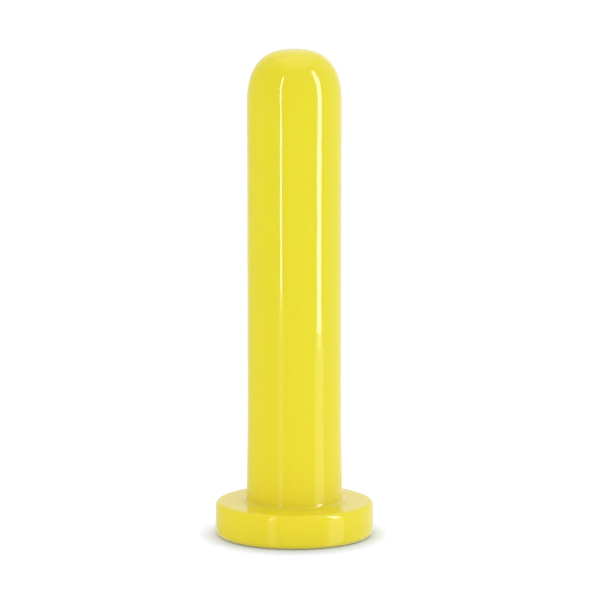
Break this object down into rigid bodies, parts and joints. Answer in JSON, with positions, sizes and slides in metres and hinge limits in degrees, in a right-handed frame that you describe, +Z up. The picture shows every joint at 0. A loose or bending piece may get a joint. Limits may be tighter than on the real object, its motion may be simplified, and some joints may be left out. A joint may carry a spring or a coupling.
{
  "type": "delineator post",
  "caption": "Domed flexible delineator post on a round foot; a spring and wire rope in its neck let it be knocked flat and stand up again.",
  "frame": {"origin": "centre of the underside, on the ground", "axes": "+Z up along the post; +X is the direction in which the post leans at positive joint values; +Y is the bending axis"},
  "size_m": [0.1344, 0.1344, 0.417],
  "materials": {
    "polyurethane_skin": "glossy cast yellow polyurethane elastomer, slightly translucent",
    "rubber_pad": "black moulded rubber, studded tread",
    "zinc_plated_plate": "zinc-plated steel plate",
    "zinc_plated_hardware": "bright zinc-plated steel",
    "brass_insert": "knurled brass",
    "turned_steel": "turned steel, oiled",
    "spring_steel": "black phosphated spring wire",
    "wire_rope": "galvanised wire rope and swage",
    "galvanised_tube": "galvanised steel tube",
    "grey_plastic": "grey moulded plastic"
  },
  "bodies": {
    "base": {"foot_skin": "polyurethane_skin", "neck_skin": "polyurethane_skin", "ground_pad": "rubber_pad", "base_plate": "zinc_plated_plate", "plate_screw_1": "zinc_plated_hardware", "plate_screw_2": "zinc_plated_hardware", "plate_screw_3": "zinc_plated_hardware", "plate_screw_4": "zinc_plated_hardware", "plate_screw_5": "zinc_plated_hardware", "plate_screw_6": "zinc_plated_hardware", "skin_insert_1": "brass_insert", "skin_insert_2": "brass_insert", "skin_insert_3": "brass_insert", "skin_insert_4": "brass_insert", "skin_insert_5": "brass_insert", "skin_insert_6": "brass_insert", "anchor_bush": "zinc_plated_hardware", "lower_spring_seat": "turned_steel", "seat_screw_1": "zinc_plated_hardware", "seat_screw_2": "zinc_plated_hardware", "seat_screw_3": "zinc_plated_hardware", "seat_screw_4": "zinc_plated_hardware", "rope_ferrule": "wire_rope", "return_spring": "spring_steel", "tie_rope": "wire_rope"},
    "post": {"post_skin": "polyurethane_skin", "upper_spring_seat": "turned_steel", "core_tube": "galvanised_tube", "tube_rivet_1": "zinc_plated_hardware", "tube_rivet_2": "zinc_plated_hardware", "tube_rivet_3": "zinc_plated_hardware", "tube_rivet_4": "zinc_plated_hardware", "rope_stud": "zinc_plated_hardware", "stud_washer": "zinc_plated_hardware", "stud_nut": "zinc_plated_hardware", "nose_plug": "grey_plastic"}
  },
  "joints": [
    {"name": "neck_bend", "type": "hinge", "parent": "base", "child": "post", "pos_m": [0, 0, 0.088], "axis": [0, 1, 0], "range_deg": [-90, 90], "stiffness_Nm_per_rad": 25, "deforming": ["neck_skin", "return_spring", "tie_rope"]}
  ]
}
